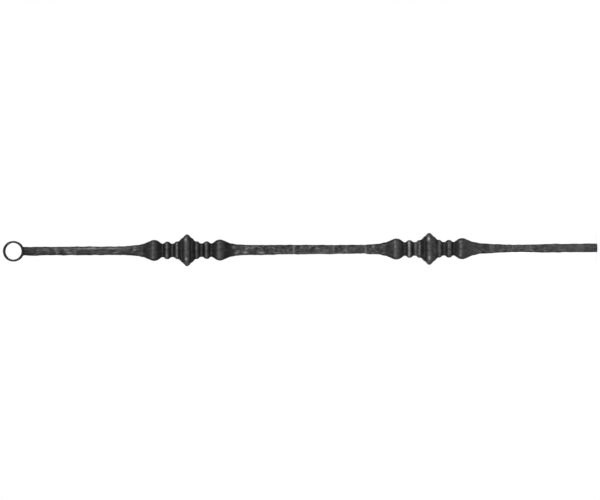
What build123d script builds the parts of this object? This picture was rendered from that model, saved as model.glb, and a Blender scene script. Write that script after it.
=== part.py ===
from build123d import *
import os
from math import cos, radians, tan

# A wrought iron baluster: a round forged bar with two knuckles and a ring at its top.
# It stands on its plain foot, centred on the origin, with its axis up Z. Millimetres and degrees.

# Bar, from the foot up
foot_diameter = 14.4
foot_length = 84.0
foot_edge_break = 0.8
draw_length = 35.0
waist_diameter = 12.9
waist_length = 31.0
lower_flare_length = 49.1
short_flare_length = 24.4
middle_thin_diameter = 15.1
middle_thin_length = 59.5
middle_thick_diameter = 17.2
middle_taper_length = 140.0
middle_flare_length = 17.1
upper_diameter = 14.3
upper_length = 166.8

# Knuckle, from its rim outwards; both halves and both knuckles are alike
rim_diameter = 54.2
rim_round = 4.8
cone_slope = 50.0
step_diameter = 42.4
step_width = 2.4
step_slope = 25.0
collar_diameter = 30.3
collar_bevel = 0.4
inner_collar_land = 4.3
outer_collar_land = 4.1
neck_diameter = 23.0
neck_slope = 45.0
inner_neck_land = 4.7
outer_neck_land = 2.9
bead_diameter = 35.8
bead_land = 7.1
bead_rise_slope = 37.0
bead_rise_round = 7.0
bead_fall_length = 14.5
bead_fall_round = 8.5
shoulder_diameter = 23.2
shoulder_end_diameter = 21.8
shoulder_length = 4.9
root_diameter = 18.2
root_length = 6.1

# Corners that stay crisp
sharp = 0.0

# Ring
ring_outer_diameter = 34.8
ring_wall = 3.4
ring_depth = 16.0
ring_edge_break = 1.2


def run_between(first_diameter, second_diameter, slope):
    """Length along the axis of a flank that joins two diameters at a slope."""
    return abs(first_diameter - second_diameter) / 2 / tan(radians(slope))


# Each corner of a knuckle's outline beyond the rim: length along the axis since the last, diameter, rounding.
rim_corner_diameter = rim_diameter + 2 * rim_round * (1 / cos(radians(cone_slope)) - 1)
step_end_diameter = step_diameter - 2 * step_width * tan(radians(step_slope))
bevel_diameter = collar_diameter - 2 * collar_bevel
bevel_run = run_between(collar_diameter, bevel_diameter, neck_slope / 2)
groove_run = run_between(bevel_diameter, neck_diameter, neck_slope)
knuckle_corners = [
    (run_between(rim_corner_diameter, step_diameter, cone_slope), step_diameter, sharp),
    (step_width, step_end_diameter, sharp),
    (run_between(step_end_diameter, collar_diameter, cone_slope), collar_diameter, sharp),
    (inner_collar_land, collar_diameter, sharp),
    (bevel_run, bevel_diameter, sharp),
    (groove_run, neck_diameter, sharp),
    (inner_neck_land, neck_diameter, sharp),
    (groove_run, bevel_diameter, sharp),
    (bevel_run, collar_diameter, sharp),
    (outer_collar_land, collar_diameter, sharp),
    (bevel_run, bevel_diameter, sharp),
    (groove_run, neck_diameter, sharp),
    (outer_neck_land, neck_diameter, sharp),
    (run_between(bead_diameter, neck_diameter, bead_rise_slope), bead_diameter, bead_rise_round),
    (bead_land, bead_diameter, bead_fall_round),
    (bead_fall_length, shoulder_diameter, sharp),
    (shoulder_length, shoulder_end_diameter, sharp),
    (root_length, root_diameter, sharp),
]
knuckle_half_length = sum(run for run, diameter, rounding in knuckle_corners)


class Outline:
    """The bar's outline as it grows upwards: corner points and the rounding of each."""

    def __init__(self, diameter):
        self.height = 0.0
        self.points = [(diameter / 2, 0.0)]
        self.rounds = []

    def add(self, run, diameter, rounding):
        self.height += run
        self.points.append((diameter / 2, self.height))
        self.rounds.append(rounding)

    def add_knuckle(self):
        """Both halves of a knuckle, from the corner after its lower root to its upper root."""
        rim_height = self.height + knuckle_half_length
        reach = 0.0
        upper_half = []
        for run, diameter, rounding in knuckle_corners:
            reach += run
            upper_half.append((reach, diameter, rounding))
        lower_half = [(-reach, diameter, rounding) for reach, diameter, rounding in reversed(upper_half)]
        rim = [(0.0, rim_corner_diameter, rim_round)]
        for reach, diameter, rounding in lower_half[1:] + rim + upper_half:
            self.add(rim_height + reach - self.height, diameter, rounding)


outline = Outline(foot_diameter)
outline.add(foot_length, foot_diameter, sharp)
outline.add(draw_length, waist_diameter, sharp)
outline.add(waist_length, waist_diameter, sharp)
outline.add(lower_flare_length, root_diameter, sharp)
outline.add_knuckle()
outline.add(short_flare_length, middle_thin_diameter, sharp)
outline.add(middle_thin_length, middle_thin_diameter, sharp)
outline.add(middle_taper_length, middle_thick_diameter, sharp)
outline.add(middle_flare_length, root_diameter, sharp)
outline.add_knuckle()
outline.add(short_flare_length, upper_diameter, sharp)
ring_centre_height = outline.height + upper_length + ring_outer_diameter / 2

with BuildPart() as forged_bar:
    with BuildSketch(Plane.XZ):
        with BuildLine():
            side = FilletPolyline(
                *outline.points, (upper_diameter / 2, ring_centre_height), radius=outline.rounds
            )
            Polyline(side @ 1, (0, ring_centre_height), (0, 0), side @ 0)
        make_face()
    revolve(axis=Axis.Z)
    chamfer(forged_bar.faces().sort_by(Axis.Z)[0].edges(), foot_edge_break)
    # The upper end is hollowed to seat the ring.
    with BuildSketch(Plane.XZ):
        with Locations((0, ring_centre_height)):
            Circle(ring_outer_diameter / 2)
    extrude(amount=ring_outer_diameter, both=True, mode=Mode.SUBTRACT)
forged_bar.part.label = "forged_bar"

with BuildPart() as end_ring:
    with BuildSketch(Plane.XZ):
        with Locations((0, ring_centre_height)):
            Circle(ring_outer_diameter / 2)
            Circle(ring_outer_diameter / 2 - ring_wall, mode=Mode.SUBTRACT)
    extrude(amount=ring_depth / 2, both=True)
    chamfer(end_ring.edges().filter_by(GeomType.CIRCLE), ring_edge_break)
end_ring.part.label = "end_ring"

os.makedirs("parts", exist_ok=True)
export_step(forged_bar.part, "parts/forged_bar.step")
export_step(end_ring.part, "parts/end_ring.step")
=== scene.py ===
# %% [markdown]
# # A forged iron baluster
# A baluster is one of the upright bars under a stair rail. This one is a round iron bar that a smith has
# drawn out under the hammer, with two knuckles worked into it and a small strap ring welded to its upper
# end. The CAD solids give the exact sizes. This lesson dresses them: it lays a hammered skin over the clean
# turned shape, gives the iron its blackened finish, and sets up the camera and the light.
#
# Everything is in metres. The bar stands on its foot at the origin with its axis up Z.

# %% Load the CAD frame
import math

import bpy
import numpy as np
from mathutils import Matrix, Vector


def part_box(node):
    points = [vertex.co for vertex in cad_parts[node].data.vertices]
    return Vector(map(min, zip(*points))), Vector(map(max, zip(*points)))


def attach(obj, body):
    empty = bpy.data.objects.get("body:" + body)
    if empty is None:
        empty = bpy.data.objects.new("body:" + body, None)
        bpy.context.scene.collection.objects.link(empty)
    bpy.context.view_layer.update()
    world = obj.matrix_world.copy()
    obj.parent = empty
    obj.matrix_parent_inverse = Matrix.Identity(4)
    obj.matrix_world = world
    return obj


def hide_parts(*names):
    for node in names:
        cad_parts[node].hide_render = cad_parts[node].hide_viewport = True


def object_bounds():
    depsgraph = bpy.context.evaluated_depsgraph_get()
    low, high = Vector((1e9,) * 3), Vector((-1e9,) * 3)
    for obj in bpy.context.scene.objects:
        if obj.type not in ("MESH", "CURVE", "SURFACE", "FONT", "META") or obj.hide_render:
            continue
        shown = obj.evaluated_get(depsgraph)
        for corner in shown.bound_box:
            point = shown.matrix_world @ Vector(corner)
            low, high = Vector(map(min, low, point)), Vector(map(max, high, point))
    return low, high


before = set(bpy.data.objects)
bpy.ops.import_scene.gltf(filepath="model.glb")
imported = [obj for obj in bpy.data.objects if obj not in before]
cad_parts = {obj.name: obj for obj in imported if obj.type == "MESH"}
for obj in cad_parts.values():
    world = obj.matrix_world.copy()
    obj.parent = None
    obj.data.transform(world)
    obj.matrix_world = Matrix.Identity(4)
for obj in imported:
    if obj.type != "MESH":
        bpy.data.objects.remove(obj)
cad_low, cad_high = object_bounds()
mm = 0.001


def in_mm(lengths):
    """Lengths in millimetres, rounded to be printed."""
    return [round(float(length) / mm, 2) for length in lengths]


print("CAD box in mm:", in_mm(cad_low), in_mm(cad_high))

# %% [markdown]
# ## The camera
# The photograph shows the baluster lying across the picture, ring to the left, from far enough away that
# its ends look as thick as its middle. A short lens close by would show the ends smaller, so this is a long
# lens a few metres off, which gives that flat look. The bar's own axis is upright here, so the camera is
# rolled a quarter turn: the picture's right is down the bar, and its top is +X. The bar rises by a third of
# a degree towards its foot, so the camera rolls by that much as well.

# %% Camera
scene = bpy.context.scene
picture_width_px = 600
metres_per_px = 1.684 * mm
aim_above_axis_px = -0.3
aim_up_the_bar_px = 297.0
lens_mm = 200.0
sensor_mm = 36.0
farthest_seen = 60.0
roll = math.radians(0.332)
aim = Vector((aim_above_axis_px * metres_per_px, 0.0, aim_up_the_bar_px * metres_per_px))
camera_distance = picture_width_px * metres_per_px * lens_mm / sensor_mm

picture_right = Vector((-math.sin(roll), 0.0, -math.cos(roll)))
picture_up = Vector((math.cos(roll), 0.0, -math.sin(roll)))
towards_viewer = Vector((0.0, -1.0, 0.0))
turn = Matrix((picture_right, picture_up, towards_viewer)).transposed()
camera_data = bpy.data.cameras.new("camera")
camera_data.lens = lens_mm
camera_data.sensor_width = sensor_mm
camera_data.clip_end = farthest_seen
camera = bpy.data.objects.new("camera", camera_data)
camera.matrix_world = Matrix.Translation(aim + camera_distance * towards_viewer) @ turn.to_4x4()
scene.collection.objects.link(camera)
scene.camera = camera
scene.view_settings.view_transform = "Standard"
print("camera stands", round(camera_distance, 3), "m away")

# %% [markdown]
# ## The outline of the bar
# A turned shape is fully known from its outline: how far the surface is from the axis at each height. It
# could be typed in again, but the CAD node already holds it, so the outline is read back from the node's
# vertices. The ring's size and place come from its node too, and the bar ends where it meets the ring.

# %% Read the outline from the CAD node
def node_points(node_name):
    """The vertices of a CAD node, one row for each."""
    return np.array([vertex.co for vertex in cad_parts[node_name].data.vertices])


bar_points = node_points("forged_bar")
bar_radii = np.hypot(bar_points[:, 0], bar_points[:, 1])
bar_heights = np.round(bar_points[:, 2], 6)
ring_low, ring_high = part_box("end_ring")
ring_radius = (ring_high.x - ring_low.x) / 2
ring_centre = (ring_high.z + ring_low.z) / 2
seat_height = ring_centre - ring_radius
seat_margin = 0.1 * mm

levels = np.unique(bar_heights[bar_heights < seat_height - seat_margin])
level_radii = np.array([bar_radii[bar_heights == level].max() for level in levels])
foot_radius = level_radii[0]
top_radius = level_radii[-1]
print(len(levels), "rings of vertices, widest", round(level_radii.max() / mm, 2), "mm")

# %% [markdown]
# ## Dressed edges
# A die leaves the rings of a knuckle crisp, and the smith dresses them: a file takes the edge off each ring,
# and a wire brush rounds it a little more. The whole outline could be softened evenly, but then the creases
# between the rings would fill up and look cast. So crests are softened twice as far as creases, and the
# places that the file met are taken down by up to 0.4 mm. Both knuckles were dressed alike, so a place is
# given by how far it is from the rim, which is the widest ring of a knuckle.

# %% Find the rims and dress the rings
fine_step = 0.1 * mm
past_seat = 2 * mm
# In metres: the heights between which each rim is looked for.
knuckle_stretches = [(0.2, 0.4), (0.6, 0.8)]
fine_heights = np.arange(levels[0], seat_height + past_seat, fine_step)
fine_radii = np.interp(fine_heights, levels, level_radii)
rim_heights = []
for low, high in knuckle_stretches:
    stretch = (fine_heights > low) & (fine_heights < high)
    rim_heights.append(fine_heights[stretch][np.argmax(fine_radii[stretch])])

# In mm: how far from the rim, half width, depth.
dressing = [
    (17.8, 1.8, 0.15),
    (33.2, 3.2, 0.22),
    (51.4, 2.6, 0.40),
    (55.0, 4.0, 0.10),
]


def fade(distance, half_width, power=2):
    """1 at no distance, falling off over the half width; a higher power has a flatter top."""
    return np.exp(-(np.abs(distance / half_width) ** power))


for rim_height in rim_heights:
    from_rim = np.abs(fine_heights - rim_height) / mm
    for reach, half_width, depth in dressing:
        fine_radii = fine_radii - depth * mm * fade(from_rim - reach, half_width)
print("rims at", in_mm(rim_heights), "mm")

# %% Soften the outline
bell_reach = 4


def soften(values, spread):
    """Weighted average along the outline; spread is the width of its bell in metres."""
    reach = int(bell_reach * spread / fine_step)
    bell = np.exp(-0.5 * (np.arange(-reach, reach + 1) * fine_step / spread) ** 2)
    padded = np.pad(values, reach, mode="edge")
    return np.convolve(padded, bell / bell.sum(), mode="valid")


crease_softness = 0.6 * mm
crest_softness = 1.3 * mm
surroundings = 4.0 * mm
full_crest = 0.8 * mm
share_softness = 0.5 * mm
crisp_foot = 2 * mm
proud = fine_radii - soften(fine_radii, surroundings)
crest_share = soften(np.clip(proud / full_crest, 0, 1), share_softness)
soft_radii = soften(fine_radii, crease_softness)
soft_radii += (soften(fine_radii, crest_softness) - soft_radii) * crest_share
above_foot = np.clip((fine_heights - crisp_foot) / crisp_foot, 0, 1)
soft_radii = fine_radii + (soft_radii - fine_radii) * above_foot
print("a crest stands proud by up to", round(proud.max() / mm, 2), "mm")

# %% [markdown]
# Two more numbers go with each point of the outline, for the finish. "crest" says how much a ring is painted
# lighter: rubbed wear on the crests, and a painted highlight where the lamps shine on them. "hollow" says
# how sharply the outline bends inwards, and the creases are painted darker with it, as painted shade.
# The bend is the second slope of the outline. The rims were rubbed over a wider band than the rest, and
# roughly, so how near a point is to a rim is kept as well.

# %% Rubbed rings with painted highlights, and creases with painted shade
# Painted highlights with wear: the crests of the rings are painted lighter.
# In mm: how far from the rim, half width, then strength.
crest_wear_and_highlight = [
    (0.0, 4.6, 0.14),
    (8.4, 1.2, 0.05),
    (16.7, 2.1, 0.16),
    (24.4, 1.8, 0.03),
    (33.4, 2.2, 0.15),
    (40.8, 1.2, 0.03),
    (56.4, 6.2, 0.10),
]
flat_topped = 4
rim_half_width = 4.2
crests = np.zeros_like(fine_radii)
rim_share = np.zeros_like(fine_radii)
for rim_height in rim_heights:
    from_rim = np.abs(fine_heights - rim_height) / mm
    rim_share = np.maximum(rim_share, fade(from_rim, rim_half_width, flat_topped))
    for reach, half_width, strength in crest_wear_and_highlight:
        crests = np.maximum(crests, strength * fade(from_rim - reach, half_width, flat_topped))
# Painted shade: the sharper a crease bends, the darker it is painted.
sharp_bend = 450.0
bend_softness = 0.8 * mm
bend = np.gradient(np.gradient(soften(fine_radii, bend_softness), fine_step), fine_step)
hollows = np.clip(bend / sharp_bend, 0, 1)
print("sharpest hollow bends by", round(bend.max()), "per metre")

# %% [markdown]
# ## Stations up the bar
# The skin is a grid of points: columns run up the bar and rows go round it. The knuckles are full of small
# curves and need a row every half millimetre. The plain bar between them does with one every millimetre and
# a half, which keeps the mesh light. Each row also carries how strongly it was hammered. The bars were
# worked all over, and the knuckles were formed in a die and only touched up. "worked" is the same for the
# finish, but counts the roughly rubbed rims too.

# %% Stations
first_station = 0.9 * mm
seat_gap = 1.4 * mm
knuckle_radius = 9.3 * mm
knuckle_step = 0.55 * mm
bar_step = 1.5 * mm
stations = [first_station]
while stations[-1] < seat_height - seat_gap:
    radius_here = np.interp(stations[-1], fine_heights, soft_radii)
    stations.append(stations[-1] + (knuckle_step if radius_here > knuckle_radius else bar_step))
stations = np.array(stations[:-1])
station_radii = np.interp(stations, fine_heights, soft_radii)

touched_up = 0.22
rim_roughness = 1.8
thickest_bar = 9.0 * mm
thickening_range = 2.5 * mm
thickening = np.clip((station_radii - thickest_bar) / thickening_range, 0, 1)
hammered = 1.0 - (1.0 - touched_up) * thickening
worked = np.maximum(hammered, rim_roughness * np.interp(stations, fine_heights, rim_share))
print(len(stations), "stations")

# %% [markdown]
# A few blows left marks that can be seen across the whole bar. The edge of the hammer or of a fuller bit
# into the middle stretch, just above each knuckle the bar is pinched, and below the upper one it swells.
# Noise would put such marks anywhere, and these are part of how this one bar looks, so they are listed:
# height, depth and half width in millimetres. The narrow ones are cuts, and their edges are painted lighter,
# the deeper the lighter: rubbed wear, and a painted highlight along each cut.

# %% Marks across the bar
cross_marks = [
    (511.0, 0.35, 1.2),
    (443.7, 0.30, 1.0),
    (422.7, 0.22, 0.9),
    (389.8, 0.35, 1.3),
    (393.2, 0.60, 2.6),
    (606.5, -0.35, 4.0),
    (770.0, 0.40, 3.0),
]
widest_cut = 1.5
deepest_cut = 0.35
mark_depths = np.zeros(len(stations))
mark_edges = np.zeros(len(stations))
for mark_height, depth, half_width in cross_marks:
    mark_shape = fade(stations / mm - mark_height, half_width)
    mark_depths -= depth * mm * mark_shape
    # Painted highlight with wear: the edges of the narrow cuts are painted lighter, the deeper the lighter.
    if half_width < widest_cut:
        mark_edges = np.maximum(mark_edges, mark_shape * depth / deepest_cut)
print("deepest mark", round(-mark_depths.min() / mm, 2), "mm")

# %% [markdown]
# The outline becomes a chain of points in the XZ plane, with X for the radius and Z for the height. Both
# ends are closed with a few rings that shrink to a point. The foot keeps the small bevel that it was filed
# to. The rings of the upper end lie a little past the seat for now, which marks them for later.

# %% Outline mesh with its attributes
def outline_mesh(name, radii, heights, **attributes):
    """A chain of points (radius, 0, height) with one number per point for each named attribute."""
    mesh = bpy.data.meshes.new(name)
    chain = [(float(r), 0.0, float(z)) for r, z in zip(radii, heights)]
    mesh.from_pydata(chain, [(i, i + 1) for i in range(len(chain) - 1)], [])
    for attribute_name, values in attributes.items():
        layer = mesh.attributes.new(attribute_name, "FLOAT", "POINT")
        layer.data.foreach_set("value", np.asarray(values, dtype=np.float32))
    return mesh


closing_shares = np.array([0.0, 0.3, 0.6, 0.85, 1.0])
foot_rings = foot_radius * closing_shares
seat_rings = top_radius * closing_shares[::-1]
seat_mark = seat_height + 0.5 * mm


def with_ends(values):
    """Row values with zeros for the closed ends."""
    return np.concatenate([0 * foot_rings, values, 0 * seat_rings])


bar_outline = outline_mesh(
    "bar_outline",
    np.concatenate([foot_rings, station_radii, seat_rings]),
    np.concatenate([0 * foot_rings, stations, 0 * seat_rings + seat_mark]),
    hammered=with_ends(hammered),
    worked=with_ends(worked),
    mark=with_ends(mark_depths),
    mark_edge=with_ends(mark_edges),
    crest=with_ends(np.interp(stations, fine_heights, crests)),
    hollow=with_ends(np.interp(stations, fine_heights, hollows)),
)
print("outline has", len(bar_outline.vertices), "points")

# %% [markdown]
# ## One node tree that turns and hammers
# The bar and the ring are both an outline swept round an axis and then struck with a hammer, so one Geometry
# Nodes tree makes both. It lays out a flat grid, looks up each row's radius and height in the outline, and
# rolls the grid into a tube. A modelled bar with a bump map would look right only from the front: its edge
# against the background would stay dead straight. So every blow is real geometry.
#
# Hammer blows overlap like scales. A Voronoi texture has that pattern: one cell for each blow, lowest in its
# middle, with a ridge where two blows meet. Two noise textures add the slow waviness of hand work and the
# fine scale that the fire leaves.

# %% Small helpers for wiring nodes
class Wiring:
    """Adds nodes to a tree. An input may be a number or another node's output."""

    def __init__(self, tree):
        self.tree = tree

    def node(self, kind, inputs=None, **settings):
        """A new node. Its inputs are given by name or by number."""
        made = self.tree.nodes.new(kind)
        for key, value in settings.items():
            setattr(made, key, value)
        for key, value in (inputs or {}).items():
            self.feed(made.inputs[key], value)
        return made

    def feed(self, socket, value):
        """Links an output to the socket, or sets it to a number."""
        if isinstance(value, bpy.types.NodeSocket):
            self.tree.links.new(value, socket)
        else:
            socket.default_value = value

    def math(self, operation, first, second=0.0, clamp=False):
        made = self.node("ShaderNodeMath", {0: first, 1: second}, operation=operation, use_clamp=clamp)
        return made.outputs[0]

    def vector_math(self, operation, first, second):
        return self.node("ShaderNodeVectorMath", {0: first, 1: second}, operation=operation).outputs[0]

    def vector(self, x, y, z):
        return self.node("ShaderNodeCombineXYZ", {"X": x, "Y": y, "Z": z}).outputs[0]

    def ramp(self, value, low, high):
        """0 below low, 1 above high, smooth between."""
        span = {"Value": value, "From Min": low, "From Max": high}
        return self.node("ShaderNodeMapRange", span, interpolation_type="SMOOTHSTEP").outputs["Result"]

    def centred(self, texture):
        """A noise texture's value, moved from between 0 and 1 to between -1 and 1."""
        return self.math("MULTIPLY", self.math("SUBTRACT", texture.outputs[0], 0.5), 2.0)


print("ready to wire node trees")


# %% Small helpers for trees of geometry
class Shaping(Wiring):
    """Wires a Geometry Nodes tree with named inputs."""

    def __init__(self, name, geometry_input, other_inputs):
        super().__init__(bpy.data.node_groups.new(name, "GeometryNodeTree"))
        self.identifiers = {}
        for input_name, kind, default in [(geometry_input, "NodeSocketGeometry", None), *other_inputs]:
            socket = self.tree.interface.new_socket(name=input_name, in_out="INPUT", socket_type=kind)
            if default is not None:
                socket.default_value = default
            self.identifiers[input_name] = socket.identifier
        self.given = self.node("NodeGroupInput").outputs

    def position(self):
        return self.node("GeometryNodeInputPosition").outputs[0]

    def passed_through(self, kind, geometry, **inputs):
        """What comes out when a geometry goes through a node."""
        return self.node(kind, {"Geometry": geometry, **inputs}).outputs["Geometry"]

    def hand_out(self, name, geometry):
        """Shades the geometry smooth, makes it one real mesh of iron and gives it to the tree's output."""
        self.tree.interface.new_socket(name=name, in_out="OUTPUT", socket_type="NodeSocketGeometry")
        geometry = self.passed_through("GeometryNodeSetShadeSmooth", geometry)
        geometry = self.passed_through("GeometryNodeRealizeInstances", geometry)
        geometry = self.passed_through("GeometryNodeSetMaterial", geometry, Material=self.given["Iron"])
        self.node("NodeGroupOutput", {name: geometry})
        print(self.tree.name, "has", len(self.tree.nodes), "nodes")


def enabled_value(sockets):
    """The value socket that a node shows for its data type; it has a hidden one for each other type."""
    return next(s for s in sockets if s.name == "Value" and s.enabled)


print("ready to shape geometry")

# %% The tree's inputs
turning_inputs = [
    ("Around", "NodeSocketInt", 88),
    ("Blow Width", "NodeSocketFloat", 5.5 * mm),
    ("Blow Length", "NodeSocketFloat", 12.0 * mm),
    ("Blow Depth", "NodeSocketFloat", 0.5 * mm),
    ("Wave Length", "NodeSocketFloat", 24.0 * mm),
    ("Wave Depth", "NodeSocketFloat", 0.35 * mm),
    ("Scale Depth", "NodeSocketFloat", 0.07 * mm),
    ("Largest Radius", "NodeSocketFloat", 27.1 * mm),
    ("Seed", "NodeSocketFloat", 4.0),
    ("Iron", "NodeSocketMaterial", None),
]
turning = Shaping("turn_and_hammer", "Outline", turning_inputs)
given = turning.given
print("inputs:", ", ".join(turning.identifiers))

# %% Lay out the grid
outline_size = turning.node("GeometryNodeAttributeDomainSize", {"Geometry": given["Outline"]})
point_count = outline_size.outputs["Point Count"]
grid = turning.node(
    "GeometryNodeMeshGrid",
    {
        "Size X": 1.0,
        "Size Y": 1.0,
        "Vertices X": turning.math("ADD", given["Around"], 1.0),
        "Vertices Y": point_count,
    },
)
# The grid is 1 m wide and centred, so half a metre is added to count from its edge.
flat = turning.node("ShaderNodeSeparateXYZ", {"Vector": turning.position()})
angle = turning.math("MULTIPLY", turning.math("ADD", flat.outputs["X"], 0.5), 2 * math.pi)
rows_above_first = turning.math("SUBTRACT", point_count, 1.0)
row = turning.math("MULTIPLY", turning.math("ADD", flat.outputs["Y"], 0.5), rows_above_first)
row = turning.math("ROUND", row)
print("grid laid out with", len(turning.tree.nodes), "nodes")


# %% Look up the outline
def from_outline(value, data_type):
    """The outline's value in this grid point's row."""
    sampled = {"Geometry": given["Outline"], "Index": row}
    made = turning.node("GeometryNodeSampleIndex", sampled, data_type=data_type)
    turning.feed(enabled_value(made.inputs), value)
    return enabled_value(made.outputs)


def row_number(attribute_name):
    """The number that the outline carries under this name in this grid point's row."""
    made = turning.node("GeometryNodeInputNamedAttribute", {"Name": attribute_name}, data_type="FLOAT")
    return from_outline(next(s for s in made.outputs if s.enabled), "FLOAT")


outline_place = from_outline(turning.position(), "FLOAT_VECTOR")
outline_place = turning.node("ShaderNodeSeparateXYZ", {"Vector": outline_place})
row_radius = outline_place.outputs["X"]
row_height = outline_place.outputs["Z"]
print("outline looked up with", len(turning.tree.nodes), "nodes")


# %% Roll the grid into a tube
def place_at(distance):
    """The point at this distance from the axis, at this grid point's angle and height."""
    x = turning.math("MULTIPLY", distance, turning.math("COSINE", angle))
    y = turning.math("MULTIPLY", distance, turning.math("SINE", angle))
    return turning.vector(x, y, row_height)


smooth_place = place_at(row_radius)
print("grid rolled with", len(turning.tree.nodes), "nodes")


# %% Hammer blows and waviness
def stretched(width, length):
    """The smooth surface in units of one pattern cell, so a pattern wraps round the bar without a seam."""
    scaled = turning.vector_math("DIVIDE", smooth_place, turning.vector(width, width, length))
    return turning.vector_math("ADD", scaled, turning.vector(given["Seed"], 0.0, given["Seed"]))


def noise(width, length, detail):
    """Noise between about -1 and 1, in cells of this width and length."""
    cells = {"Vector": stretched(width, length), "Scale": 1.0, "Detail": detail}
    return turning.centred(turning.node("ShaderNodeTexNoise", cells))


row_hammered = row_number("hammered")
blow_cells = {
    "Vector": stretched(given["Blow Width"], given["Blow Length"]),
    "Scale": 1.0,
    "Randomness": 0.9,
}
blow_middle = turning.node("ShaderNodeTexVoronoi", blow_cells, feature="F1").outputs["Distance"]
blow_edge = turning.node("ShaderNodeTexVoronoi", blow_cells, feature="DISTANCE_TO_EDGE").outputs["Distance"]
bowl_steepness = 2.0
mean_bowl = 0.5
bowl = turning.math("MULTIPLY", turning.math("POWER", blow_middle, 2.0), bowl_steepness)
dent = turning.math("MULTIPLY", turning.math("SUBTRACT", bowl, mean_bowl), given["Blow Depth"])
wave_noise = noise(given["Wave Length"], given["Wave Length"], detail=1.0)
wave = turning.math("MULTIPLY", wave_noise, given["Wave Depth"])
blows = turning.math("MULTIPLY", turning.math("ADD", dent, wave), row_hammered)
print("blows and waves bring it to", len(turning.tree.nodes), "nodes")

# %% Fire scale and uneven marks
scale_width = 2.6 * mm
scale_length = 3.4 * mm
scale_gain = 6.0
scale = turning.math("MULTIPLY", noise(scale_width, scale_length, detail=2.0), given["Scale Depth"])
scale = turning.math("MULTIPLY", scale, turning.math("MULTIPLY", row_hammered, scale_gain, clamp=True))

patch_size = 9.0 * mm
mark_share = 0.8
mark_unevenness = 0.4
patch_noise = noise(patch_size, patch_size, detail=2.0)
uneven = turning.math("ADD", turning.math("MULTIPLY", patch_noise, mark_unevenness), mark_share)
mark = turning.math("MULTIPLY", row_number("mark"), uneven)
offset = turning.math("ADD", blows, turning.math("ADD", scale, mark))
print("scale and marks bring it to", len(turning.tree.nodes), "nodes")

# %% [markdown]
# Wear goes where a hand or a brush can reach: on the ridges between blows, on the rings and on the edges of
# the cuts. On the rings and the cut edges the same lightening is also a painted highlight, where the lamps
# shine on a crest. It is broken up by the same patches everywhere, because nothing wears evenly. The three
# are stored with the skin as one number for wear and painted highlight, which the material reads later.

# %% Find where the skin is worn or painted with a highlight
ridge_half_width = 0.16
ridge_wear = 0.42
cut_wear_and_highlight = 0.31


def broken_up(strength, patches_from, patches_to):
    """A strength broken up by the patches."""
    return turning.math("MULTIPLY", strength, turning.ramp(patch_noise, patches_from, patches_to))


ridge = turning.math("SUBTRACT", 1.0, turning.ramp(blow_edge, 0.0, ridge_half_width))
ridge = turning.math("MULTIPLY", turning.math("MULTIPLY", ridge, row_hammered), ridge_wear)
cut = turning.math("MULTIPLY", row_number("mark_edge"), cut_wear_and_highlight)
# Painted highlight with wear: the crests and the cut edges are lightened by this number; the ridges only
# wear.
wear_and_highlight = turning.math(
    "MAXIMUM",
    broken_up(ridge, patches_from=-0.15, patches_to=0.55),
    broken_up(row_number("crest"), patches_from=-1.3, patches_to=0.4),
)
wear_and_highlight = turning.math("MAXIMUM", wear_and_highlight, broken_up(cut, patches_from=-1.1, patches_to=0.2))
print("wear brings it to", len(turning.tree.nodes), "nodes")


# %% Set the skin in place
def store(geometry, attribute_name, value):
    """Keeps a number with each point of a geometry, for the material."""
    kept = {"Geometry": geometry, "Name": attribute_name}
    made = turning.node("GeometryNodeStoreNamedAttribute", kept, data_type="FLOAT", domain="POINT")
    turning.feed(enabled_value(made.inputs), value)
    return made.outputs["Geometry"]


merge_distance = 0.01 * mm
struck_radius = turning.math("MINIMUM", turning.math("ADD", row_radius, offset), given["Largest Radius"])
skin = store(grid.outputs["Mesh"], "wear_and_highlight", wear_and_highlight)
skin = store(skin, "hollow", row_number("hollow"))
skin = store(skin, "worked", row_number("worked"))
skin = turning.passed_through("GeometryNodeSetPosition", skin, Position=place_at(struck_radius))
skin = turning.passed_through("GeometryNodeMergeByDistance", skin, Distance=merge_distance)
turning.hand_out("Skin", skin)

# %% [markdown]
# ## Blackened iron
# Forged iron is finished with oil or a dull black paint over the dark scale from the fire. It is never one
# flat grey: patches hold more or less of the black, and what hands and brushes rub goes lighter and
# smoother.
# On top of that the creases are painted darker as painted shade, and the crests, the cut edges and some
# spots on the rims and edges are painted lighter as painted highlights. The patches come from noise on
# Object coordinates. The wear, the painted highlights and the painted shade come from the numbers that the
# tree stored, so they sit exactly on the real edges.
#
# A dull black plastic would have the right grey from the front, but its edges would turn pale, because every
# plain surface mirrors a white room at a glancing angle. Oiled iron doesn't: its edges stay dark. So the
# shader is mostly a dark metal, and Specular Tint keeps the glancing reflections down.

# %% Small helpers for painting
def grey(level):
    """A grey with a trace of blue, as scale has."""
    return (level, level, level * 1.02, 1.0)


def blank_nodes(owner):
    """The node tree of a material or a world, switched on and emptied."""
    owner.use_nodes = True
    owner.node_tree.nodes.clear()
    return owner.node_tree


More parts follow.
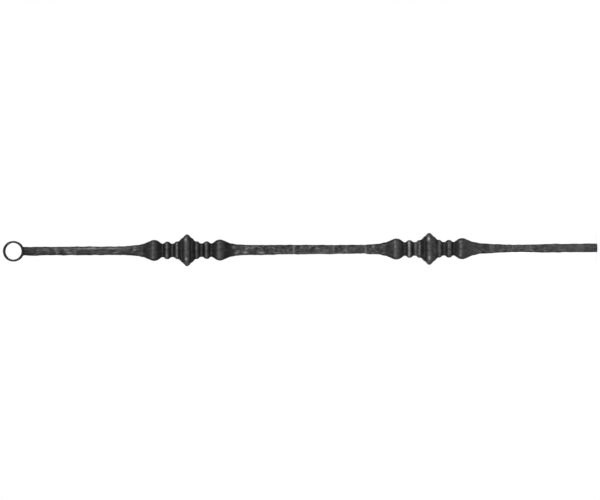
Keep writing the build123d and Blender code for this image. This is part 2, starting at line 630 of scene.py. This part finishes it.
class Painting(Wiring):
    """Wires a material. It knows the place on the surface and the numbers stored with the skin."""

    def __init__(self, material):
        super().__init__(blank_nodes(material))
        self.place = self.node("ShaderNodeTexCoord").outputs["Object"]

    def number(self, attribute_name):
        return self.node("ShaderNodeAttribute", attribute_name=attribute_name).outputs["Fac"]

    def cloud(self, scale, stretch):
        """Noise of so many cells to the metre, times the stretch on each axis; about 0.5 on average."""
        drawn = self.node("ShaderNodeMapping", {"Vector": self.place, "Scale": stretch}).outputs[0]
        return self.node("ShaderNodeTexNoise", {"Vector": drawn, "Scale": scale, "Detail": 3.0}).outputs[0]

    def total(self, parts, base=0.0):
        """A base value and some outputs, each times its share."""
        result = base
        for value, share in parts:
            result = self.math("ADD", self.math("MULTIPLY", value, share), result)
        return result

    def mixed(self, factor, first, second):
        """A colour between two others."""
        made = self.node("ShaderNodeMix", {"Factor": factor}, data_type="RGBA", blend_type="MIX")
        colours = [socket for socket in made.inputs if socket.type == "RGBA"]
        self.feed(colours[0], first)
        self.feed(colours[1], second)
        return next(socket for socket in made.outputs if socket.type == "RGBA")


print("ready to paint")

# %% How the finish varies
mottle_range = (0.425, 0.575)
die_mottle = 0.1
wear_range = (0.10, 0.55)
shade_and_soot_cover = 0.9
mottle_roughness = 0.12
soot_roughness = 0.25
rubbed_polish = 0.12
pits_per_metre = 520.0
pit_range = (0.05, 0.35)
relief_strength = 0.25
relief_depth = 0.25 * mm
metal_share = 0.8
gloss_level = 0.1
edge_tint = (0.35, 0.35, 0.35, 1.0)
print("finish: metal share", metal_share, "with", round(pits_per_metre), "pits to the metre")


# %% The iron's nodes
def blackened_iron(name, dark, light, wear_and_highlight_level, shade_and_soot_level, smooth, worked_rough):
    """Iron from the grey of its dark and light patches, of rubbed places with painted highlights and of
    creases with painted shade.

    smooth and worked_rough are its roughness in the knuckles and where it was hammered.
    """
    material = bpy.data.materials.new(name)
    paint = Painting(material)
    worked_here = paint.number("worked")
    shade_and_soot_here = paint.number("hollow")
    patches = paint.cloud(230.0, (1.0, 1.0, 0.7))
    bands = paint.cloud(75.0, (0.2, 0.2, 1.0))
    streaks = paint.cloud(480.0, (1.0, 1.0, 0.2))
    grain = paint.cloud(800.0, (1.0, 1.0, 1.0))
    mottle = paint.total([(patches, 0.22), (bands, 0.30), (streaks, 0.26), (grain, 0.22)])
    mottle = paint.ramp(mottle, *mottle_range)
    mottle_share = paint.total([(worked_here, 1 - die_mottle)], base=die_mottle)
    lightened = paint.math("MULTIPLY", mottle, mottle_share)
    wear_and_highlight_here = paint.math("MULTIPLY", paint.number("wear_and_highlight"), paint.ramp(patches, *wear_range))

    colour = paint.mixed(lightened, grey(dark), grey(light))
    # Painted shade: the creases, and the soot marks with them, are painted darker.
    colour = paint.mixed(paint.math("MULTIPLY", shade_and_soot_here, shade_and_soot_cover), colour, grey(shade_and_soot_level))
    # Painted highlight with wear: rubbed places and highlight bands are painted lighter.
    colour = paint.mixed(wear_and_highlight_here, colour, grey(wear_and_highlight_level))
    roughness_changes = [
        (worked_here, worked_rough - smooth),
        (mottle, mottle_roughness),
        (shade_and_soot_here, soot_roughness),
        (wear_and_highlight_here, -rubbed_polish),
    ]
    roughness = paint.total(roughness_changes, base=smooth - mottle_roughness / 2)
    pit_cells = {"Vector": paint.place, "Scale": pits_per_metre}
    pits = paint.node("ShaderNodeTexVoronoi", pit_cells, feature="F1").outputs["Distance"]
    relief = paint.total([(grain, 0.7), (paint.ramp(pits, *pit_range), 0.3)])
    bump_sizes = {"Height": relief, "Strength": relief_strength, "Distance": relief_depth}
    bump = paint.node("ShaderNodeBump", bump_sizes).outputs["Normal"]

    shader = paint.node(
        "ShaderNodeBsdfPrincipled",
        {
            "Base Color": colour,
            "Roughness": roughness,
            "Normal": bump,
            "Metallic": metal_share,
            "Specular IOR Level": gloss_level,
            "Specular Tint": edge_tint,
        },
    )
    paint.node("ShaderNodeOutputMaterial", {"Surface": shader.outputs["BSDF"]})
    print(name, "has", len(material.node_tree.nodes), "nodes")
    return material


print("ready to blacken iron")

# %% Iron for the bar and for the ring
bar_iron = blackened_iron(
    "blackened_bar",
    dark=0.014,
    light=0.048,
    # The grey of wear and painted highlights, then the grey of painted crease shade and soot.
    wear_and_highlight_level=0.30,
    shade_and_soot_level=0.010,
    smooth=0.38,
    worked_rough=0.52,
)
ring_iron = blackened_iron(
    "blackened_ring",
    dark=0.005,
    light=0.014,
    wear_and_highlight_level=0.03,
    shade_and_soot_level=0.005,
    smooth=0.45,
    worked_rough=0.5,
)

# %% [markdown]
# ## The bar's skin
# The tree runs as a modifier on the outline. Its inputs are set by their identifiers before Blender
# evaluates it, then the result is copied out as a plain mesh and the modifier goes. The copy's signed volume
# tells whether the faces point outwards, and they are turned round if not. The volume is printed; it should
# come close to the CAD volume.

# %% Run the tree
def run_tree(name, outline, shaping, **inputs):
    """The evaluated result of a tree on an outline, as a plain mesh object at the origin."""
    worker = bpy.data.objects.new(name + "_outline", outline)
    scene.collection.objects.link(worker)
    modifier = worker.modifiers.new("tree", "NODES")
    modifier.node_group = shaping.tree
    for input_name, value in inputs.items():
        modifier[shaping.identifiers[input_name.replace("_", " ")]] = value
    bpy.context.view_layer.update()
    depsgraph = bpy.context.evaluated_depsgraph_get()
    mesh = bpy.data.meshes.new_from_object(
        worker.evaluated_get(depsgraph), preserve_all_data_layers=True, depsgraph=depsgraph
    )
    worker.modifiers.remove(modifier)
    bpy.data.objects.remove(worker)
    mesh.name = name
    made = bpy.data.objects.new(name, mesh)
    scene.collection.objects.link(made)
    return made


bar_sides = 92
bar = run_tree(
    "bar_skin",
    bar_outline,
    turning,
    Around=bar_sides,
    Iron=bar_iron,
    Largest_Radius=min(cad_high.x, cad_high.y),
)
print(bar.name, "has", len(bar.data.vertices), "points")


# %% Helpers that measure a mesh
def vertex_places(mesh):
    """The places of a mesh's vertices, one row for each."""
    places = np.empty(len(mesh.vertices) * 3)
    mesh.vertices.foreach_get("co", places)
    return places.reshape(-1, 3)


def signed_volume(mesh):
    """The volume inside a closed mesh, negative if its faces point inwards."""
    mesh.calc_loop_triangles()
    places = vertex_places(mesh)
    corners = np.empty(len(mesh.loop_triangles) * 3, dtype=np.int32)
    mesh.loop_triangles.foreach_get("vertices", corners)
    first, second, third = (places[corners.reshape(-1, 3)[:, i]] for i in range(3))
    return float(np.einsum("ij,ij->i", first, np.cross(second, third)).sum() / 6)


def face_outwards(made):
    """Turns the faces round if the mesh is inside out."""
    volume = signed_volume(made.data)
    if volume < 0:
        made.data.flip_normals()
        volume = signed_volume(made.data)
    print(made.name, len(made.data.loop_triangles), "triangles,", round(volume / mm**3), "cubic mm")


# %% Seat the upper end under the ring
bar_places = vertex_places(bar.data)
at_seat = bar_places[:, 2] > seat_height
across = np.clip(bar_places[at_seat, 0], -ring_radius, ring_radius)
bar_places[at_seat, 2] = ring_centre - np.sqrt(ring_radius**2 - across**2)
bar.data.vertices.foreach_set("co", bar_places.ravel())
bar.data.update()
face_outwards(bar)

# %% [markdown]
# Handling leaves its own marks: light streaks along the edges that hands reach, bright knocks on the rims of
# the knuckles, and soot that stays in the lee of a streak. On the camera's side the streaks and the knocks
# are painted highlights as well as wear, where the lamps shine on the edges and the rims, and the bands all
# round the bar are painted lighter in the same way, as painted highlight and painted light. A texture would
# put them anywhere, so these are listed and added as soft patches to the number for wear and painted
# highlight, and to the one for creases and soot. Each is a height in mm, an angle round the bar (0 is +X,
# negative on the camera's side), a half length in mm, a half width in degrees and a strength. The camera's
# side follows the photograph. The far side isn't seen there, and gets marks of the same kind.

# %% Rubbed streaks and knocks with painted highlights, on the camera's side
# Painted highlights with wear: these streaks and the spots on the rims are painted lighter where the lamps
# shine.
front_wear_and_highlight_marks = [
    (929.0, -70, 4.0, 14.0, 0.20),
    (911.0, -70, 4.0, 14.0, 0.20),
    (893.0, -72, 5.0, 14.0, 0.18),
    (889.0, -117, 4.0, 14.0, 0.34),
    (872.0, -59, 8.0, 15.0, 0.20),
    (851.0, -57, 13.0, 14.0, 0.33),
    (828.0, -100, 9.0, 30.0, 0.10),
    (816.0, -57, 13.0, 14.0, 0.30),
    (692.5, -48, 2.2, 8.0, 0.75),
    (691.2, -125, 2.4, 8.0, 0.65),
    (611.0, -65, 2.5, 14.0, 0.36),
    (607.0, -121, 3.0, 14.0, 0.42),
    (592.0, -123, 4.0, 16.0, 0.42),
    (580.0, -63, 3.0, 14.0, 0.25),
    (566.0, -125, 6.0, 14.0, 0.38),
    (541.0, -131, 7.0, 16.0, 0.26),
    (460.0, -143, 75.0, 12.0, 0.16),
    (457.0, -100, 15.0, 40.0, 0.10),
    (412.0, -95, 6.0, 40.0, 0.10),
    (378.0, -136, 3.5, 16.0, 0.20),
    (284.4, -50, 2.4, 9.0, 0.95),
    (282.4, -125, 2.6, 9.0, 0.80),
    (273.0, -95, 7.0, 30.0, 0.20),
]
print(len(front_wear_and_highlight_marks), "marks on the camera's side")

# %% The far side, and bands of wear and painted highlight all round
all_round = 400.0
back_marks = [
    (938.0, 66, 5.0, 15.0, 0.22),
    (904.0, 118, 9.0, 14.0, 0.28),
    (862.0, 58, 14.0, 14.0, 0.30),
    (824.0, 132, 9.0, 14.0, 0.30),
    (691.6, 36, 2.2, 8.0, 0.60),
    (690.8, 112, 2.4, 9.0, 0.70),
    (602.0, 72, 4.0, 14.0, 0.40),
    (574.0, 126, 6.0, 15.0, 0.36),
    (470.0, 40, 60.0, 12.0, 0.14),
    (384.0, 60, 4.0, 15.0, 0.30),
    (283.4, 62, 2.4, 9.0, 0.80),
    (282.0, 140, 2.6, 9.0, 0.70),
]
# Painted highlights and painted light with wear: bands round the knuckles, the bar and the foot are painted
# lighter.
wear_and_highlight_bands = [
    (338.5, 0, 6.5, all_round, 0.15),
    (325.4, 0, 2.0, all_round, 0.08),
    (316.3, 0, 2.2, all_round, 0.42),
    (304.8, 0, 3.2, all_round, 0.23),
    (276.5, 0, 4.5, all_round, 0.16),
    (265.5, 0, 2.8, all_round, 0.22),
    (255.4, 0, 2.5, all_round, 0.06),
    (248.4, 0, 2.4, all_round, 0.20),
    (230.5, 0, 4.5, all_round, 0.12),
    (213.0, 0, 15.0, all_round, 0.11),
    (176.0, 0, 6.0, all_round, 0.10),
    (147.0, 0, 7.0, all_round, 0.12),
    (110.0, 0, 9.0, all_round, 0.10),
    (95.0, 0, 110.0, all_round, 0.06),
    (66.0, 0, 7.0, all_round, 0.12),
    (26.0, 0, 22.0, all_round, 0.12),
]
print(len(back_marks), "marks on the far side and", len(wear_and_highlight_bands), "all round")

# %% Soot
soot_marks = [
    (956.0, -105, 16.0, 40.0, 0.5),
    (948.0, -135, 22.0, 22.0, 1.0),
    (944.0, -55, 12.0, 25.0, 0.35),
    (909.0, -141, 26.0, 26.0, 1.0),
    (846.0, -90, 30.0, 13.0, 0.6),
    (845.0, -134, 30.0, 20.0, 0.6),
    (790.0, -127, 16.0, 22.0, 0.6),
    (780.0, -85, 4.0, 35.0, 0.6),
    (624.0, 0, 8.0, all_round, 0.5),
    (382.0, -95, 8.0, 30.0, 0.5),
    (880.0, 84, 30.0, 24.0, 0.8),
    (790.0, 60, 18.0, 22.0, 0.6),
]
print(len(soot_marks), "sooty places")

# %% Add the marks to the skin
around = np.degrees(np.arctan2(bar_places[:, 1], bar_places[:, 0]))


def add_marks(attribute_name, marks):
    """Raises a stored number to the strength of each mark, which fades over its half length and angle."""
    layer = bar.data.attributes[attribute_name]
    values = np.empty(len(bar_places))
    layer.data.foreach_get("value", values)
    for mark_height, centre_angle, half_length, half_angle, strength in marks:
        swing = (around - centre_angle + 180.0) % 360.0 - 180.0
        along = bar_places[:, 2] / mm - mark_height
        values = np.maximum(values, strength * fade(along, half_length) * fade(swing, half_angle))
    layer.data.foreach_set("value", values.astype(np.float32))
    print(attribute_name, "has", len(marks), "marks, mean", round(float(values.mean()), 3))


add_marks("wear_and_highlight", front_wear_and_highlight_marks + back_marks + wear_and_highlight_bands)
add_marks("hollow", soot_marks)
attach(bar, "root")
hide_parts("forged_bar")

# %% [markdown]
# ## The ring
# The ring is a short strap bent round a bar, with its edges dressed with a file. Seen end on it is a thin
# dark circle. A torus would be quicker, but its wall would be round. So the outline is a rounded rectangle,
# and the same tree turns and hammers it. It is made round Z and then laid over, because its bore runs
# along Y.

# %% Ring outline
ring_points = node_points("end_ring")
bore_radius = np.hypot(ring_points[:, 0], ring_points[:, 2] - ring_centre).min()
ring_wall = ring_radius - bore_radius
ring_half_depth = (ring_high.y - ring_low.y) / 2
edge_round = 1.1 * mm
corner_steps = 6
side_step = 0.6 * mm


def rounded_rectangle(inner, outer, half_depth, rounding):
    """Closed chain of (radius, height) round a rectangle with rounded corners."""
    arcs = []
    for quarter, (radius_end, height_end) in enumerate([(outer, 1), (inner, 1), (inner, -1), (outer, -1)]):
        centre_radius = radius_end + (rounding if radius_end == inner else -rounding)
        centre_height = height_end * (half_depth - rounding)
        swing = np.radians(90 * quarter + np.linspace(0, 90, corner_steps + 1))
        arc_radii = centre_radius + rounding * np.cos(swing)
        arc_heights = centre_height + rounding * np.sin(swing)
        arcs.append(np.column_stack([arc_radii, arc_heights]))
    chain = []
    for arc, next_arc in zip(arcs, arcs[1:] + arcs[:1]):
        side = next_arc[0] - arc[-1]
        pieces = max(1, round(np.linalg.norm(side) / side_step))
        chain.extend(arc)
        chain.extend(arc[-1] + side * piece / pieces for piece in range(1, pieces))
    chain.append(arcs[0][0])
    return np.array(chain)


strap = rounded_rectangle(bore_radius, ring_radius, ring_half_depth, edge_round)
print("strap is", round(ring_wall / mm, 3), "mm thick, its outline has", len(strap), "points")

# %% Hammering and wear of the strap
outer_share = 0.4
outside_hammered = 0.8
inside_hammered = 0.25
edge_wear = 0.7
outside = strap[:, 0] > ring_radius - outer_share * ring_wall
at_edge = np.abs(strap[:, 1]) > ring_half_depth - edge_round
strap_hammered = np.where(outside, outside_hammered, inside_hammered)
unmarked = np.zeros(len(strap))
ring_outline = outline_mesh(
    "ring_outline",
    strap[:, 0],
    strap[:, 1],
    hammered=strap_hammered,
    worked=strap_hammered,
    mark=unmarked,
    mark_edge=unmarked,
    crest=np.where(at_edge, edge_wear, 0.0),
    hollow=unmarked,
)
print(int(outside.sum()), "points outside,", int(at_edge.sum()), "at the edges")

# %% Ring skin
ring_sides = 150
ring = run_tree(
    "ring_skin",
    ring_outline,
    turning,
    Around=ring_sides,
    Iron=ring_iron,
    Blow_Width=6.0 * mm,
    Blow_Length=9.0 * mm,
    Blow_Depth=0.22 * mm,
    Wave_Depth=0.12 * mm,
    Scale_Depth=0.04 * mm,
    Seed=11.0,
    Largest_Radius=ring_radius,
)
lay_over = Matrix.Rotation(math.radians(-90), 4, "X")
ring.data.transform(Matrix.Translation((0, 0, ring_centre)) @ lay_over)
ring.data.update()
face_outwards(ring)
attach(ring, "root")
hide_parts("end_ring")

# %% [markdown]
# ## The weld
# The ring sits in a hollow filed across the end of the bar and is welded all round. A weld is a small uneven
# fillet that follows the line where the two meet. It could be modelled by hand, but that line is known
# exactly: it is where the bar's end circle lies on the ring. So Geometry Nodes sweep a tube along it, with
# noise for its ripples, and the tube sinks half into both.

# %% Weld tree
weld_inputs = [
    ("Bead Radius", "NodeSocketFloat", 0.9 * mm),
    ("Ripple", "NodeSocketFloat", 0.25 * mm),
    ("Seed", "NodeSocketFloat", 7.0),
    ("Iron", "NodeSocketMaterial", None),
]
welding = Shaping("weld_bead", "Line", weld_inputs)
bead_sides = 12
ripples_per_metre = 420.0
section = {"Resolution": bead_sides, "Radius": welding.given["Bead Radius"]}
section = welding.node("GeometryNodeCurvePrimitiveCircle", section).outputs["Curve"]
path = welding.node("GeometryNodeMeshToCurve", {"Mesh": welding.given["Line"]}).outputs["Curve"]
bead = welding.node("GeometryNodeCurveToMesh", {"Curve": path, "Profile Curve": section}).outputs["Mesh"]
ripple = welding.node(
    "ShaderNodeTexNoise",
    {
        "Vector": welding.position(),
        "W": welding.given["Seed"],
        "Scale": ripples_per_metre,
        "Detail": 2.0,
    },
    noise_dimensions="4D",
)
push = welding.math("MULTIPLY", welding.centred(ripple), welding.given["Ripple"])
normal = welding.node("GeometryNodeInputNormal").outputs[0]
outward = welding.node("ShaderNodeVectorMath", {0: normal, "Scale": push}, operation="SCALE").outputs[0]
bead = welding.passed_through("GeometryNodeSetPosition", bead, Offset=outward)
welding.hand_out("Bead", bead)


# %% Weld
def even_angles(count):
    """Angles evenly spaced round a circle."""
    return [2 * math.pi * step / count for step in range(count)]


weld_steps = 96
weld_points = []
for swing in even_angles(weld_steps):
    x = top_radius * math.cos(swing)
    y = top_radius * math.sin(swing)
    weld_points.append((x, y, ring_centre - math.sqrt(ring_radius**2 - x * x)))
weld_line = bpy.data.meshes.new("weld_line")
weld_line.from_pydata(weld_points, [(i, (i + 1) % weld_steps) for i in range(weld_steps)], [])
weld = run_tree("weld_bead", weld_line, welding, Iron=bar_iron)
face_outwards(weld)
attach(weld, "root")

# %% [markdown]
# ## Floor and light
# The photograph is a catalogue picture: dark iron on plain white, with no shadow that can be seen. Brighter
# lamps would make the background white too, but they would wash out the iron. So the background is a white
# world and a pale floor, and both are lifted to white only where the camera, a reflection or glass looks at
# them. They throw no extra light on the iron. The floor is lifted just to white and no further, so that it
# still takes the baluster's soft shadow.

# %% World
white = (1, 1, 1, 1)
ambient_strength = 0.20
seen_strength = 1.0


def seen_directly(paint):
    """1 for rays from the camera and for reflections and refractions of the background, 0 for light."""
    path_kind = paint.node("ShaderNodeLightPath").outputs
    seen = paint.math("MAXIMUM", path_kind["Is Camera Ray"], path_kind["Is Glossy Ray"])
    return paint.math("MAXIMUM", seen, path_kind["Is Transmission Ray"])


world = bpy.data.worlds.new("white_studio")
scene.world = world
sky = Wiring(blank_nodes(world))
ambient = sky.node("ShaderNodeBackground", {"Color": white, "Strength": ambient_strength}).outputs[0]
seen_white = sky.node("ShaderNodeBackground", {"Color": white, "Strength": seen_strength}).outputs[0]
either = sky.node("ShaderNodeMixShader", {0: seen_directly(sky), 1: ambient, 2: seen_white}).outputs[0]
sky.node("ShaderNodeOutputWorld", {"Surface": either})
print("world:", seen_strength, "to the eye,", ambient_strength, "as light")

# %% Floor
floor_sides = 96
floor_radius = 2.5
floor_drop = 0.05 * mm
floor_grey = 0.8
floor_lift = 0.35
floor_rim = []
for swing in even_angles(floor_sides):
    floor_rim.append((floor_radius * math.cos(swing), floor_radius * math.sin(swing), -floor_drop))
floor_mesh = bpy.data.meshes.new("floor")
floor_mesh.from_pydata(floor_rim, [], [list(range(floor_sides))])
floor = bpy.data.objects.new("floor", floor_mesh)
scene.collection.objects.link(floor)

pale = bpy.data.materials.new("pale_floor")
floor_paint = Wiring(blank_nodes(pale))
matt_colour = (floor_grey, floor_grey, floor_grey, 1)
matt = floor_paint.node("ShaderNodeBsdfDiffuse", {"Color": matt_colour}).outputs[0]
lift_strength = floor_paint.math("MULTIPLY", seen_directly(floor_paint), floor_lift)
lift = floor_paint.node("ShaderNodeEmission", {"Color": white, "Strength": lift_strength}).outputs[0]
both = floor_paint.node("ShaderNodeAddShader", {0: matt, 1: lift}).outputs[0]
floor_paint.node("ShaderNodeOutputMaterial", {"Surface": both})
floor_mesh.materials.append(pale)
print("floor is", 2 * floor_radius, "m across")

# %% [markdown]
# In the photograph every face that runs along the bar is light, right round it, and every face that tilts
# towards an end is nearly black. So the light comes from all round the bar, but hardly at all from beyond
# its ends. The brightest line on each bead lies a little towards the ring end, so the lamps stand somewhat
# above the bar's middle. Five wide lamps do it: one to each side, where the two bright spots on a rim come
# from, two in front to either side of the camera, and one behind for the far side. Those on +X, the
# picture's upper side, are stronger.

# %% Lamps
def soft_lamp(name, place, target, width, height, watts):
    """A wide rectangular lamp at a place, turned to a target."""
    lamp_data = bpy.data.lights.new(name, "AREA")
    lamp_data.shape = "RECTANGLE"
    lamp_data.size = width
    lamp_data.size_y = height
    lamp_data.energy = watts
    lamp = bpy.data.objects.new(name, lamp_data)
    facing = (Vector(target) - Vector(place)).normalized()
    lamp.matrix_world = Matrix.Translation(place) @ facing.to_track_quat("-Z", "Y").to_matrix().to_4x4()
    scene.collection.objects.link(lamp)


bar_middle = 0.5
lamp_reach = 4.0
lamp_rise = 1.1
lamp_tall = 1.2
# Direction from the bar in X and Y, width in metres, watts.
for lamp_name, x, y, width, watts in [
    ("upper_lamp", 1.0, -0.08, 1.9, 68.0),
    ("lower_lamp", -0.98, -0.20, 1.9, 58.0),
    ("front_upper_lamp", 0.52, -0.85, 3.2, 80.0),
    ("front_lower_lamp", -0.52, -0.85, 3.2, 66.0),
    ("back_lamp", 0.0, 1.0, 3.2, 90.0),
]:
    lamp_place = (x * lamp_reach, y * lamp_reach, bar_middle + lamp_rise)
    soft_lamp(lamp_name, lamp_place, (0, 0, bar_middle), width, lamp_tall, watts)
